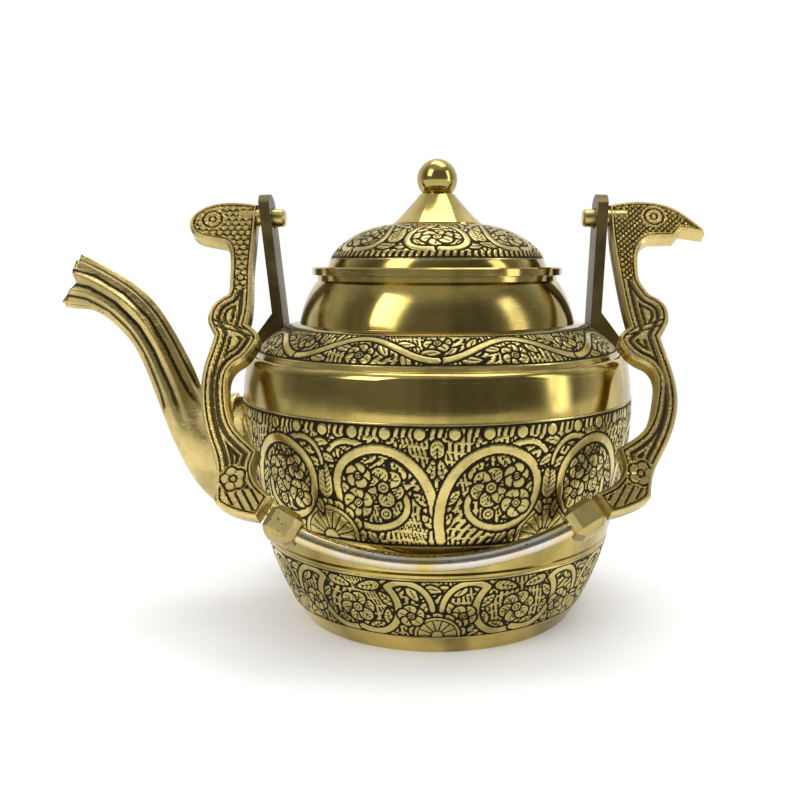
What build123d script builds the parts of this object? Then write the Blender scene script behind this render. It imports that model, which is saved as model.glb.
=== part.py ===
from build123d import *
from math import cos, hypot, pi, radians, sin, sqrt
import os

# Brass teapot with a lift-off lid, a fluted spout and a swinging bail.
# Millimetres, +Z up, origin at the centre of the foot's underside.
# The spout points along -X, and the bail turns about an axis along X.

# Pot: turned walls
wall = 1.6
foot_radius = 54.4
foot_height = 2.2
foot_flare = 1.3
foot_width = 6.0
base_thickness = 1.8
bowl_radius = 63.4
bowl_height = 18.0
seam_radius = 68.2
seam_height = 33.0
seam_groove = 0.5
waist_radius = 73.0
waist_height = 56.0
belly_radius = 75.6
belly_height = 82.0
rim_radius = 74.0
rim_height = 98.2
rim_bead = 3.2
shoulder_width = 13.6
shoulder_rise = 11.2
shoulder_bulge = 0.9
ledge_thickness = 1.4
neck_step = 3.6
neck_draw = 2.7
neck_mid_rise = 9.3
neck_rise = 18.6
mouth_draw = 7.1
mouth_lip = 2.6
lip_thickness = 1.8

# Lid
seat_gap = 0.3
lid_clearance = 0.4
flange_overhang = 4.6
flange_thickness = 2.9
flange_chamfer = 0.5
dome_step = 6.0
dome_draw = 8.4
dome_shoulder_height = 10.4
dome_height = 16.6
lid_wall = 1.5
collar_depth = 11.0
cone_radius = 17.2
cone_foot = 1.2
cone_waist_radius = 13.6
cone_waist_height = 4.6
cone_top_radius = 6.6
cone_height = 12.4
ball_radius = 7.75
ball_sink = 1.2
stud_radius = 2.4
stud_end = 2.0
nut_width = 9.0
nut_thickness = 3.4
nut_gap = 0.6

# Spout: lower and upper edge of each section, as distances out from the widest
# part of the belly and heights, and the section's half width
spout_sections = [
    ((-13.6, 30.0), (-13.6, 83.5), 17.0),
    ((6.4, 36.5), (4.4, 83.3), 15.0),
    ((22.4, 50.5), (12.4, 84.2), 12.4),
    ((30.0, 66.0), (18.0, 87.0), 10.4),
    ((35.8, 82.2), (20.8, 93.5), 9.2),
    ((41.5, 98.3), (27.2, 107.0), 8.5),
    ((46.0, 106.2), (33.8, 118.2), 8.2),
    ((53.3, 113.8), (43.9, 128.3), 8.0),
    ((60.9, 117.9), (56.0, 135.6), 7.8),
    ((71.9, 119.6), (67.4, 138.2), 7.6),
]
spout_wall = 1.5
flute_count = 10
flute_depth = 1.1
flute_start = 3
lip_tip = (70.0, 121.0)
lip_notch = (63.0, 128.6)
lip_lobe = (64.6, 133.4)
lip_top = (63.0, 137.6)
lip_cut_margin = 12.0
strainer_radius = 2.2
strainer_pitch = 6.6
strainer_height = 57.0
strainer_reach = 24.0

# Ears and bail
pivot_rise = 40.5
ear_thickness = 4.0
ear_width = 14.0
ear_top_round = 9.0
ear_foot_step = 2.0
ear_foot_margin = 0.8
ear_sink = 3.0
ear_toe = 2.0
ear_bend_inside = 1.0
ear_bend_outside = 6.2
ear_lean_left = 5.0
ear_lean_right = 2.0
eye_clearance = 0.6
rivet_radius = 1.5
rivet_head_radius = 2.7
rivet_reach = 1.6
rivet_spread = 4.0
pin_radius = 3.4
pin_overhang = 4.6
pin_socket = 7.0
pin_chamfer = 0.8
arm_gap = 0.9
arm_thickness = 7.0
arm_edge = 0.9
bar_radius = 2.8
bar_drop = 135.4
bar_end_left = 14.2
bar_end_right = 13.4
bar_end_drop_left = 121.0
bar_end_drop_right = 118.4
bar_gap = 0.35
block_length = 11.5
block_height = 11.0
block_depth = 12.0
block_chamfer = 2.2
block_seat = 0.04
least_tilt = 20.0
most_tilt = 80.0
tilt_error = 0.0001
profile_steps = 240

# Sizes that follow from the ones above
rim_top = rim_height + rim_bead
rim_top_radius = rim_radius - rim_bead
ledge_radius = rim_top_radius - shoulder_width
ledge_height = rim_top + shoulder_rise
neck_radius = ledge_radius - neck_step
neck_mid_radius = neck_radius - neck_draw
neck_mid_height = ledge_height + neck_mid_rise
mouth_radius = neck_mid_radius - mouth_draw
mouth_height = ledge_height + neck_rise
flange_radius = mouth_radius + flange_overhang
flange_low = mouth_height + seat_gap
flange_high = flange_low + flange_thickness
dome_radius = flange_radius - dome_step
dome_shoulder_radius = dome_radius - dome_draw
cone_low = flange_high + dome_height - cone_foot
cone_high = cone_low + cone_height
ball_height = cone_high + sqrt(ball_radius ** 2 - (cone_top_radius - ball_sink) ** 2)
pivot_height = ledge_height + pivot_rise
ear_foot_radius = ledge_radius + ear_foot_step
ear_foot_reach = rim_top_radius - ear_foot_margin


def turned(outline):
    """A solid of revolution about Z from a closed outline in the XZ plane."""
    return revolve(Plane.XZ * make_face(outline), Axis.Z)


def closed(points):
    return Polyline(*points, close=True)


def side_curve(inset):
    """The pot's side from foot to rim, moved inwards by inset."""
    stations = [
        (foot_radius + foot_flare, foot_height),
        (bowl_radius, bowl_height),
        (seam_radius, seam_height),
        (waist_radius, waist_height),
        (belly_radius, belly_height),
        (rim_radius, rim_height),
    ]
    return Spline(*[(radius - inset, height) for radius, height in stations])


def neck_curve(inset):
    """The neck's side from the ledge to the mouth, moved inwards by inset."""
    top = (mouth_radius + mouth_lip - inset, mouth_height - lip_thickness)
    middle = (neck_mid_radius - inset, neck_mid_height)
    low = (neck_radius - inset, ledge_height)
    return Spline(low, middle, top)


def shoulder_curve(rise):
    """The shoulder from the rim up to the ledge, moved along Z by rise."""
    low = (rim_top_radius, rim_top + rise)
    high = (ledge_radius, ledge_height + rise)
    middle = (
        (low[0] + high[0]) / 2 + shoulder_bulge,
        (low[1] + high[1]) / 2 + shoulder_bulge,
    )
    return ThreePointArc(low, middle, high)


def rim_curve():
    """The quarter round from the top of the side in to the shoulder."""
    middle = (rim_top_radius + rim_bead * cos(pi / 4), rim_height + rim_bead * sin(pi / 4))
    return ThreePointArc((rim_radius, rim_height), middle, (rim_top_radius, rim_top))


def between(lower, upper):
    """The closed outline between two curves that run the same way."""
    return lower + upper + [Line(lower @ 0, upper @ 0), Line(lower @ 1, upper @ 1)]


def side_wall():
    return turned(between(side_curve(wall), side_curve(0)))


def slab(low, high):
    size = 4 * belly_radius
    return Pos(0, 0, (low + high) / 2) * Box(size, size, high - low)


def pot_envelope():
    """The pot's outside as one solid, for seating what is fixed to it."""
    side = side_curve(0)
    shoulder = shoulder_curve(0)
    neck = neck_curve(0)
    outline = side + shoulder + neck + [
        Line((0, 0), (foot_radius, 0)),
        Line((foot_radius, 0), side @ 0),
        rim_curve(),
        Line(shoulder @ 1, neck @ 0),
        Line(neck @ 1, (0, (neck @ 1).Y)),
        Line((0, (neck @ 1).Y), (0, 0)),
    ]
    return turned(outline)


def make_base():
    disc = Pos(0, 0, base_thickness / 2) * Cylinder(foot_radius - foot_width, base_thickness)
    ring = turned(closed([
        (foot_radius - foot_width, 0),
        (foot_radius, 0),
        (foot_radius + foot_flare, foot_height),
        (foot_radius - foot_width, foot_height),
    ]))
    return disc, ring


def make_side():
    """The lower bowl and the belly, which meet at a fine grooved seam."""
    side = side_wall()
    groove = turned(closed([
        (seam_radius - seam_groove, seam_height),
        (seam_radius + seam_groove, seam_height - 2 * seam_groove),
        (seam_radius + seam_groove, seam_height + 2 * seam_groove),
    ]))
    bowl = side & slab(foot_height, seam_height)
    belly = side & slab(seam_height, rim_height)
    return bowl - groove, belly - groove - strainer_holes()


def strainer_holes():
    """Pouring holes through the belly wall, inside the root of the spout."""
    face = Plane((-waist_radius, 0, strainer_height), x_dir=(0, 1, 0), z_dir=(1, 0, 0))
    places = GridLocations(strainer_pitch, strainer_pitch, 3, 5)
    hole = Cylinder(strainer_radius, strainer_reach)
    return Part() + [face * place * hole for place in places]


def make_rim():
    """The rounded bead between the plain band and the shoulder."""
    return turned([
        Line((rim_top_radius, rim_height), (rim_radius, rim_height)),
        rim_curve(),
        Line((rim_top_radius, rim_top), (rim_top_radius, rim_height)),
    ])


def shoulder_band(rise):
    """The space from the shoulder plate's underside up to rise above its top."""
    return turned(between(shoulder_curve(-wall), shoulder_curve(rise)))


def make_shoulder():
    return shoulder_band(0) - rivet_shanks()


def make_neck():
    neck = turned(between(neck_curve(wall), neck_curve(0)))
    ledge = turned(closed([
        (neck_radius - wall, ledge_height - wall),
        (ledge_radius, ledge_height - wall),
        (ledge_radius, ledge_height),
        (neck_radius + ledge_thickness, ledge_height + ledge_thickness / 2),
        (neck_radius, ledge_height + ledge_thickness / 2),
        (neck_radius - wall, ledge_height),
    ])) - shoulder_band(0)
    lip = turned(closed([
        (mouth_radius, mouth_height - lip_thickness),
        (mouth_radius + mouth_lip, mouth_height - lip_thickness),
        (mouth_radius + mouth_lip, mouth_height),
        (mouth_radius, mouth_height),
    ]))
    return neck - ledge, ledge, lip


def dome_curve(inset):
    """The lid's dome from the flange to its crown, moved inwards by inset."""
    low = (dome_radius - inset, flange_high)
    shoulder = (dome_shoulder_radius - inset, flange_high + dome_shoulder_height - inset / 2)
    top = (0, flange_high + dome_height - inset)
    return Spline(low, shoulder, top, tangents=[(-0.25, 1), (-1, 0)])


def make_lid():
    flange = Pos(0, 0, (flange_low + flange_high) / 2) * Cylinder(flange_radius, flange_thickness)
    flange = chamfer(flange.edges().group_by(Axis.Z)[-1], flange_chamfer)
    flange = flange - Pos(0, 0, flange_low) * Cylinder(dome_radius - lid_wall, 4 * flange_thickness)
    dome = turned(between(dome_curve(lid_wall), dome_curve(0)))
    collar_radius = mouth_radius - lid_clearance
    collar = Pos(0, 0, flange_low - collar_depth / 2) * (
        Cylinder(collar_radius, collar_depth)
        - Cylinder(collar_radius - lid_wall, collar_depth)
    )
    return flange, dome, collar


def make_knob(dome):
    cone_outline = [
        Line((0, cone_low), (cone_radius, cone_low)),
        Line((cone_radius, cone_low), (cone_radius, cone_low + cone_foot)),
        Spline(
            (cone_radius, cone_low + cone_foot),
            (cone_waist_radius, cone_low + cone_waist_height),
            (cone_top_radius, cone_high),
        ),
        Line((cone_top_radius, cone_high), (0, cone_high)),
        Line((0, cone_high), (0, cone_low)),
    ]
    ball = Pos(0, 0, ball_height) * Sphere(ball_radius)
    ball = ball - slab(cone_low, cone_high)
    nut_low = flange_high + dome_height - lid_wall - nut_thickness - nut_gap
    stud_low = nut_low - stud_end
    stud = Pos(0, 0, (stud_low + ball_height) / 2) * Cylinder(stud_radius, ball_height - stud_low)
    hexagon = RegularPolygon(nut_width / 2, 6, major_radius=False)
    nut = Pos(0, 0, nut_low) * extrude(hexagon, nut_thickness)
    cone = turned(cone_outline) - dome - slab(flange_high, nut_low + nut_thickness)
    return cone - stud, ball + stud, nut - stud - dome, stud


def outwards(point):
    """A point of the spout, from its distance out from the belly and its height."""
    out, height = point
    return Vector(-belly_radius - out, 0, height)


def spout_section(section, shrink, depth):
    """A closed, fluted outline between the section's lower and upper edge."""
    lower = outwards(section[0])
    upper = outwards(section[1])
    half_width = section[2]
    half_height = (upper - lower).length / 2
    across = (upper - lower).normalized()
    plane = Plane((upper + lower) / 2, x_dir=across, z_dir=across.cross(Vector(0, 1, 0)))
    points = []
    for step in range(2 * flute_count):
        angle = pi * step / flute_count
        inset = shrink + (depth if step % 2 else 0)
        points.append(((half_height - inset) * cos(angle), (half_width - inset) * sin(angle)))
    return plane * make_face(Spline(*points, periodic=True))


def lip_cutter():
    """What is cut away in front of the spout's beak-like mouth."""
    tip, notch, lobe, top = [outwards(point) for point in (lip_tip, lip_notch, lip_lobe, lip_top)]
    far = outwards(spout_sections[-1][0]).X - lip_cut_margin
    low = tip.Z - lip_cut_margin
    high = top.Z + lip_cut_margin
    outline = [(far, low), (tip.X, low)]
    outline += [(point.X, point.Z) for point in (tip, notch, lobe, top)]
    outline += [(top.X, high), (far, high)]
    return extrude(Plane.XZ * make_face(closed(outline)), 2 * belly_radius, both=True)


def make_spout(envelope):
    """The hollow spout, raised in a left and a right half that are brazed along their edges."""
    outer = []
    inner = []
    for number, section in enumerate(spout_sections):
        depth = flute_depth * min(1, max(0, number - flute_start + 1) / 2)
        outer.append(spout_section(section, 0, depth))
        inner.append(spout_section(section, spout_wall + depth, 0))
    body = loft(outer[1:]) + loft(outer[:2])
    bore = loft(inner[1:]) + loft(inner[:2])
    spout = body - bore - lip_cutter() - envelope
    return [split(spout, Plane.XZ, keep=side) for side in (Keep.TOP, Keep.BOTTOM)]


def ear_strap(lean):
    """A bent strap on the +X side: an upright with an eye, and a foot on the shoulder."""
    slope = Vector(rim_top_radius - ledge_radius, rim_top - ledge_height).normalized()
    lift = Vector(-slope.Y, slope.X) * ear_thickness
    bend = Vector(ear_foot_radius, shoulder_height_at(ear_foot_radius))
    foot_end = bend + slope * (ear_foot_reach - ear_foot_radius) / slope.X
    top = Vector(ear_foot_radius + lean, pivot_height + ear_top_round)
    upright = (top - bend).normalized()
    side = Vector(upright.Y, -upright.X) * ear_thickness
    toe = bend - slope * ear_toe
    outline = make_face(closed([
        (toe.X - ear_thickness, toe.Y - ear_sink),
        (foot_end.X, foot_end.Y - ear_sink),
        tuple(foot_end + lift)[:2],
        tuple(bend + side + upright * ear_bend_outside)[:2],
        tuple(top + side)[:2],
        tuple(top)[:2],
        tuple(bend + upright * ear_bend_inside)[:2],
    ]))
    return extrude(Plane.XZ * outline, ear_width / 2, both=True)


def shoulder_height_at(radius):
    """Height of the shoulder's straight chord at a radius."""
    share = (rim_top_radius - radius) / (rim_top_radius - ledge_radius)
    return rim_top + share * (ledge_height - rim_top)


def pin_centre(lean):
    """X of the ear's middle at the height of the pivot."""
    low = shoulder_height_at(ear_foot_radius)
    share = (pivot_height - low) / (pivot_height + ear_top_round - low)
    return ear_foot_radius + lean * share + ear_thickness / 2


def make_ear(lean, envelope):
    reach = 4 * ear_foot_reach
    head = Pos(0, pivot_height) * Circle(ear_top_round)
    stem = Pos(0, pivot_height / 2) * Rectangle(ear_width, pivot_height)
    strap = extrude(Plane.YZ * (head + stem), reach) & ear_strap(lean)
    eye = Pos(0, 0, pivot_height) * Rot(0, 90, 0) * Cylinder(pin_radius + eye_clearance, reach)
    return strap - eye - envelope - rivet_shanks()


def rivet_places():
    """Frames on the shoulder, one for each rivet, with Z out of the metal."""
    slope = Vector(rim_top_radius - ledge_radius, 0, rim_top - ledge_height).normalized()
    middle = (ear_foot_radius + ear_thickness + ear_foot_reach) / 2
    places = []
    for side in (-1, 1):
        for shift in (-rivet_spread, rivet_spread):
            point = (side * middle, shift, shoulder_height_at(middle))
            outward = Vector(-slope.Z * side, 0, slope.X)
            places.append(Plane(point, x_dir=(0, 1, 0), z_dir=outward))
    return places


def rivet_shanks():
    length = ear_thickness + shoulder_bulge + 2 * wall
    shank = Pos(0, 0, ear_thickness - length / 2) * Cylinder(rivet_radius, length)
    return Part() + [place * shank for place in rivet_places()]


def make_rivets():
    """Rivets filed flush with the straps, their heads under the shoulder plate."""
    plate = shoulder_band(ear_thickness)
    length = ear_thickness + rivet_reach
    shank = Pos(0, 0, ear_thickness - length / 2) * Cylinder(rivet_radius, length)
    head = Pos(0, 0, -rivet_reach / 2) * Cylinder(rivet_head_radius, rivet_reach)
    return [place * shank + (place * head - plate) for place in rivet_places()]


def bail_stops():
    """X, drop and reach of what can meet the belly first: the bar's middle and the end blocks."""
    arc = bar_arc()
    half_length = block_length / 2 - block_chamfer
    half_height = block_height / 2 - block_chamfer
    block_reach = hypot(block_depth / 2, half_length, half_height)
    stops = [(0, bar_drop, bar_radius + bar_gap)]
    for share in (block_seat, 1 - block_seat):
        seat = arc @ share
        stops.append((seat.X, seat.Y, block_reach + bar_gap))
    return stops


def bail_tilt():
    """Angle from the vertical at which the bail comes to rest on the belly, found by halving."""
    side = side_curve(0)
    profile = [side @ (step / profile_steps) for step in range(profile_steps + 1)]
    stops = bail_stops()
    low = least_tilt
    high = most_tilt
    while high - low > tilt_error:
        middle = (low + high) / 2
        clear = True
        for x, drop, reach in stops:
            radius = hypot(x, drop * sin(radians(middle)))
            height = pivot_height - drop * cos(radians(middle))
            gap = min(hypot(radius - point.X, height - point.Y) for point in profile)
            clear = clear and gap >= reach and radius >= seam_radius
        if clear:
            high = middle
        else:
            low = middle
    return high


def arm_plate(outline):
    """A cast plate in the bail's own frame: X across, Y down the arm."""
    plate = extrude(make_face(outline), arm_thickness / 2, both=True)
    return chamfer(plate.faces().filter_by(Axis.Z).edges(), arm_edge)


def left_arm_outline():
    """Rounded head, bent neck, elbow and bowed limb: X outwards from the ear, Y down the arm."""
    head = Spline(
        (0.0, -4.2), (10.0, -5.4), (20.4, -3.2), (25.4, 2.2), (23.6, 9.2), (18.0, 11.8), (11.6, 13.2),
    )
    neck = Spline(head @ 1, (8.8, 18.5), (7.8, 31.0), (8.2, 35.6), tangents=[(-0.9, 0.5), (0.4, 1)])
    elbow = Spline(neck @ 1, (13.8, 41.6), (14.4, 46.0), (11.4, 52.6), tangents=[(0.9, 0.5), (-0.6, 1)])
    limb = Spline(
        elbow @ 1, (13.6, 64.0), (13.8, 77.0), (9.4, 94.0), (5.4, 113.5), tangents=[(0.1, 1), (0.1, 1)],
    )
    foot = Spline(limb @ 1, (3.0, 117.4), (-4.6, 120.4), (-9.7, 121.4), tangents=[(0, 1), (-1, 0.2)])
    tongue = Line(foot @ 1, (-13.7, 113.5))
    leaf = Spline(tongue @ 1, (-8.6, 108.6), (-6.8, 103.0), (-8.2, 97.4), tangents=[(0.7, -0.7), (-0.2, -1)])
    bow = Spline(leaf @ 1, (0.6, 88.6), (4.4, 76.0), (1.6, 64.2), tangents=[(0.7, -0.7), (-0.8, -0.6)])
    lobe = Spline(bow @ 1, (-3.7, 57.6), (-4.9, 53.8), (-0.2, 48.2), tangents=[(-0.9, -0.5), (0.8, -0.6)])
    inner = Spline(lobe @ 1, (-0.8, 43.0), (0.0, 24.0), (0.0, 12.0), tangents=[(-0.2, -1), (0, -1)])
    return [head, neck, elbow, limb, foot, tongue, leaf, bow, lobe, inner, Line(inner @ 1, head @ 0)]


def right_arm_outline():
    """Hooked head, bent neck, elbow and bowed limb: X outwards from the ear, Y down the arm."""
    crown = Spline((0.0, -4.0), (11.0, -5.8), (23.4, -3.6), (35.4, 6.6), tangents=[(1, -0.3), (0.8, 0.8)])
    beak = Polyline(crown @ 1, (35.6, 9.2), (26.8, 7.6), (24.0, 11.0))
    chin = Line(beak @ 1, (14.8, 11.2))
    neck = Spline(chin @ 1, (9.8, 17.0), (8.8, 25.0), (12.2, 35.6), tangents=[(-0.9, 0.4), (0.7, 1)])
    elbow = Spline(neck @ 1, (17.8, 41.0), (18.1, 46.4), (14.4, 53.4), tangents=[(0.9, 0.5), (-0.6, 1)])
    limb = Spline(
        elbow @ 1, (17.2, 66.0), (17.8, 80.0), (10.4, 99.0), (5.6, 112.0), tangents=[(0.2, 1), (-0.1, 1)],
    )
    foot = Spline(limb @ 1, (3.4, 115.6), (-3.0, 118.6), (-8.8, 120.2), tangents=[(0, 1), (-1, 0.2)])
    tongue = Line(foot @ 1, (-13.2, 112.6))
    leaf = Spline(tongue @ 1, (-6.0, 108.8), (-3.2, 104.0), (-4.2, 96.4), tangents=[(0.8, -0.4), (-0.1, -1)])
    bow = Spline(leaf @ 1, (4.8, 90.0), (10.2, 76.6), (7.8, 64.4), tangents=[(0.8, -0.5), (-0.8, -0.6)])
    lobe = Spline(bow @ 1, (0.4, 57.8), (-0.6, 54.2), (3.6, 49.2), tangents=[(-0.9, -0.4), (0.8, -0.6)])
    inner = Spline(lobe @ 1, (2.2, 40.0), (0.6, 22.0), (0.0, 9.0), tangents=[(-0.2, -1), (0, -1)])
    return [crown, beak, chin, neck, elbow, limb, foot, tongue, leaf, bow, lobe, inner, Line(inner @ 1, crown @ 0)]


def head_line(lean):
    """X of the inner edge of an arm's head, clear of the top of its ear."""
    return ear_foot_radius + lean + ear_thickness + arm_gap


def bar_arc():
    """The grip bar's line in the bail's own frame."""
    return ThreePointArc(
        (bar_end_left - head_line(ear_lean_left), bar_end_drop_left),
        (0, bar_drop),
        (head_line(ear_lean_right) - bar_end_right, bar_end_drop_right),
    )


def make_pin(side, lean):
    """A pin through the ear's eye into the arm's head, chamfered at its inner end."""
    inner_end = side * (pin_centre(lean) - ear_thickness / 2 - pin_overhang)
    outer_end = side * (head_line(lean) + pin_socket)
    rod = Rot(0, 90, 0) * Cylinder(pin_radius, abs(outer_end - inner_end))
    pin = Pos((inner_end + outer_end) / 2, 0, 0) * rod
    return chamfer(pin.edges().sort_by(Axis.X)[0 if side > 0 else -1], pin_chamfer)


def make_bail():
    """Bail pieces in the bail's own frame, with Y pointing down the arms."""
    arc = bar_arc()
    pieces = {"grip_bar": sweep(Plane(arc @ 0, z_dir=arc % 0) * Circle(bar_radius), arc)}
    sides = [
        ("left", -1, ear_lean_left, left_arm_outline(), block_seat),
        ("right", 1, ear_lean_right, right_arm_outline(), 1 - block_seat),
    ]
    for name, side, lean, outline, seat in sides:
        plate = Pos(head_line(lean), 0, 0) * arm_plate(outline)
        if side < 0:
            plate = mirror(plate, Plane.YZ)
        frame = Plane(arc @ seat, x_dir=arc % seat, z_dir=(0, 0, 1))
        block = frame * Box(block_length, block_height, block_depth)
        block = chamfer(block.edges(), block_chamfer)
        pin = make_pin(side, lean)
        pieces[name + "_arm"] = plate - pin - block
        pieces[name + "_pivot_pin"] = pin
        pieces[name + "_end_block"] = block - pieces["grip_bar"]
    return pieces


def place_bail(piece, tilt):
    """From the bail's own frame to its rest on the front of the belly."""
    down = Vector(0, -sin(radians(tilt)), -cos(radians(tilt)))
    across = Vector(1, 0, 0)
    return Plane((0, 0, pivot_height), x_dir=across, z_dir=across.cross(down)) * piece


def write(name, shape):
    """One STEP file for a node, with all its solids."""
    pieces = shape if isinstance(shape, list) else [shape]
    solids = [solid for piece in pieces for solid in piece.solids()]
    export_step(solids[0] if len(solids) == 1 else Compound(children=solids), f"parts/{name}.step")


def main():
    os.makedirs("parts", exist_ok=True)
    envelope = pot_envelope()
    nodes = {}
    nodes["base_disc"], nodes["foot_ring"] = make_base()
    nodes["lower_bowl"], nodes["belly_shell"] = make_side()
    nodes["rim_bead"] = make_rim()
    nodes["shoulder_plate"] = make_shoulder()
    nodes["neck_dome"], nodes["neck_ledge"], nodes["mouth_lip"] = make_neck()
    nodes["spout"] = make_spout(envelope)
    nodes["right_ear"] = make_ear(ear_lean_right, envelope)
    nodes["left_ear"] = mirror(make_ear(ear_lean_left, envelope), Plane.YZ)
    nodes["ear_rivets"] = make_rivets()
    flange, dome, collar = make_lid()
    cone, ball, nut, stud = make_knob(dome)
    nodes["lid_flange"] = flange
    nodes["lid_dome"] = dome - stud
    nodes["lid_collar"] = collar
    nodes["knob_cone"] = cone
    nodes["knob_ball"] = ball
    nodes["knob_nut"] = nut
    tilt = bail_tilt()
    print("bail rests at", round(tilt, 3), "degrees, swings", round(360 - 2 * tilt, 2))
    for name, piece in make_bail().items():
        nodes[name] = place_bail(piece, tilt)
    for name, shape in nodes.items():
        write(name, shape)


main()
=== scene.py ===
from math import atan2, cos, hypot, pi, radians, sin
from random import Random

import bmesh
import bpy
import numpy as np
from bpy.props import FloatProperty, FloatVectorProperty, IntProperty, PointerProperty
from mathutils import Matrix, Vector
from mathutils.bvhtree import BVHTree


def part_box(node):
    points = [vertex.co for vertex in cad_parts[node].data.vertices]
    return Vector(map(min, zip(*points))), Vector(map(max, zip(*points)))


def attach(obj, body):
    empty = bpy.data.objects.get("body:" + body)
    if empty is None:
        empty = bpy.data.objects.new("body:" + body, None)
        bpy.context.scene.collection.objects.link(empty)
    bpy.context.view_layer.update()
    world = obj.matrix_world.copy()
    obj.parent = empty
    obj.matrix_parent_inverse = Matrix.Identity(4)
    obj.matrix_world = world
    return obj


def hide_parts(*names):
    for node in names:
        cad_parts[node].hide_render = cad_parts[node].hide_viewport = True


bl_info = {
    "name": "Engraved Brass Teapot",
    "version": (1, 0, 0),
    "blender": (4, 5, 0),
    "location": "View3D > Sidebar > Teapot",
    "description": "Finishes, engraving and carved bail of a brass teapot",
    "category": "Object",
}

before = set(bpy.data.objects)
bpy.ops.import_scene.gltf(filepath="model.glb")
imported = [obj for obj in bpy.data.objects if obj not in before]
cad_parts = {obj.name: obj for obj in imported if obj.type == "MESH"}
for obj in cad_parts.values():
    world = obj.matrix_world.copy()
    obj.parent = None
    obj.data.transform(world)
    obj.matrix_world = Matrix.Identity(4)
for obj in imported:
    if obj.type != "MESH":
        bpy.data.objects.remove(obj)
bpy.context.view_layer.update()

mm = 0.001

# Turned levels of the pot's side, from the frame and the photograph
foot_band = 6.5 * mm
bowl_band_top = 31.6 * mm
belly_band_low = 43.0 * mm
belly_band_top = 85.6 * mm
shoulder_margin = 0.9 * mm
dome_band_inner = 17.6 * mm
dome_margin = 1.0 * mm
dome_ground_margin = 1.2 * mm

# The engraved nets: their finest pitch in millimetres and most faces, and how they lie on the metal
finest_pitch = 0.33
most_faces = 94000
net_gap = 0.03 * mm
net_edge = -0.1 * mm

# The ladder strokes of the engraved ground, in millimetres
ladder_pitch = 1.9
ladder_row = 3.3

# The bail's plane: its pivot height and how far it leans forward at rest
pivot = Vector((0, 0, 153.1 * mm))
bail_lean = radians(32.581)
bail_down = Vector((0, -sin(bail_lean), -cos(bail_lean)))
bail_front = Vector((0, -cos(bail_lean), sin(bail_lean)))
left_line = 69.1 * mm
right_line = 66.1 * mm

# The arms' carving: the pitch of its net in front and behind, and the plain edge round it
front_pitch = 0.36 * mm
back_pitch = 0.6 * mm
plain_edge = 0.5 * mm

# The world's light levels, and how far from the pot, in metres, the floor turns white
front_level = 0.16
plain_level = 0.95
white_start = 0.16
white_end = 0.42

# The lamps' aim, and each lamp's name, place, size and power
lamp_aim = (0, 0, 0.08)
lamps = (
    ("key_lamp", (-0.75, -0.75, 0.85), (0.5, 0.8), 4.5),
    ("side_lamp", (0.95, -0.35, 0.45), (0.25, 0.9), 2.4),
    ("top_lamp", (0.1, 0.15, 1.1), (0.9, 0.5), 4.0),
)


class TeapotSizes(bpy.types.PropertyGroup):
    relief: FloatProperty(
        name="Relief", description="How far the engraved shapes stand above their ground",
        default=0.26 * mm, unit="LENGTH",
    )
    carving: FloatProperty(
        name="Carving", description="Depth of the grooves in the cast arms",
        default=0.9 * mm, unit="LENGTH",
    )
    belly_units: IntProperty(name="Belly units", description="Flower units round the belly", default=6)
    bowl_units: IntProperty(name="Bowl units", description="Flower units round the lower bowl", default=7)
    shoulder_units: IntProperty(name="Shoulder units", description="Waves round the shoulder", default=8)
    lid_units: IntProperty(name="Lid units", description="Leaf units round the lid", default=7)
    photo_distance: FloatProperty(
        name="Camera distance", description="From the pot's axis to the camera, along Y",
        default=0.3592, unit="LENGTH",
    )
    photo_height: FloatProperty(
        name="Camera height", description="Height of the camera above the table",
        default=0.1362, unit="LENGTH",
    )
    photo_pitch: FloatProperty(
        name="Camera pitch", description="How far the camera looks down",
        default=radians(8.6), subtype="ANGLE",
    )
    photo_lens: FloatProperty(
        name="Camera lens", description="Focal length in millimetres", default=40.95, unit="CAMERA",
    )
    photo_shift: FloatProperty(
        name="Camera shift", description="Sideways shift of the picture, as a share of its width",
        default=-0.0465,
    )


class TeapotColours(bpy.types.PropertyGroup):
    polished: FloatVectorProperty(
        name="Polished brass", description="Colour of the polished bands", subtype="COLOR",
        default=(0.56, 0.43, 0.13),
    )
    engraved: FloatVectorProperty(
        name="Engraved brass", description="Colour of the raised engraved shapes", subtype="COLOR",
        default=(0.58, 0.47, 0.17),
    )
    cast: FloatVectorProperty(
        name="Cast brass", description="Colour of the cast arms and the spout", subtype="COLOR",
        default=(0.62, 0.49, 0.19),
    )
    recess: FloatVectorProperty(
        name="Recess", description="Colour of the blackened ground", subtype="COLOR",
        default=(0.028, 0.022, 0.010),
    )
    aged: FloatVectorProperty(
        name="Aged brass", description="Colour of the dull straps", subtype="COLOR",
        default=(0.13, 0.10, 0.038),
    )
    grip: FloatVectorProperty(
        name="Grip metal", description="Colour of the worn grip bar", subtype="COLOR",
        default=(0.66, 0.62, 0.55),
    )


def sizes():
    return bpy.context.scene.teapot_sizes


def colours():
    return bpy.context.scene.teapot_colours


# Node helpers

def add(tree, kind, settings=None, **inputs):
    """A node with its settings, whose inputs are values or links by socket name."""
    made = tree.nodes.new(kind)
    for name, value in (settings or {}).items():
        setattr(made, name, value)
    for name, value in inputs.items():
        feed(tree, made.inputs[name.replace("_", " ")], value)
    return made


def feed(tree, socket, value):
    if isinstance(value, bpy.types.NodeSocket):
        tree.links.new(value, socket)
    else:
        socket.default_value = value


def maths(tree, operation, first, second=0.0, third=None):
    made = tree.nodes.new("ShaderNodeMath")
    made.operation = operation
    feed(tree, made.inputs[0], first)
    feed(tree, made.inputs[1], second)
    if third is not None:
        feed(tree, made.inputs[2], third)
    return made.outputs[0]


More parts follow.
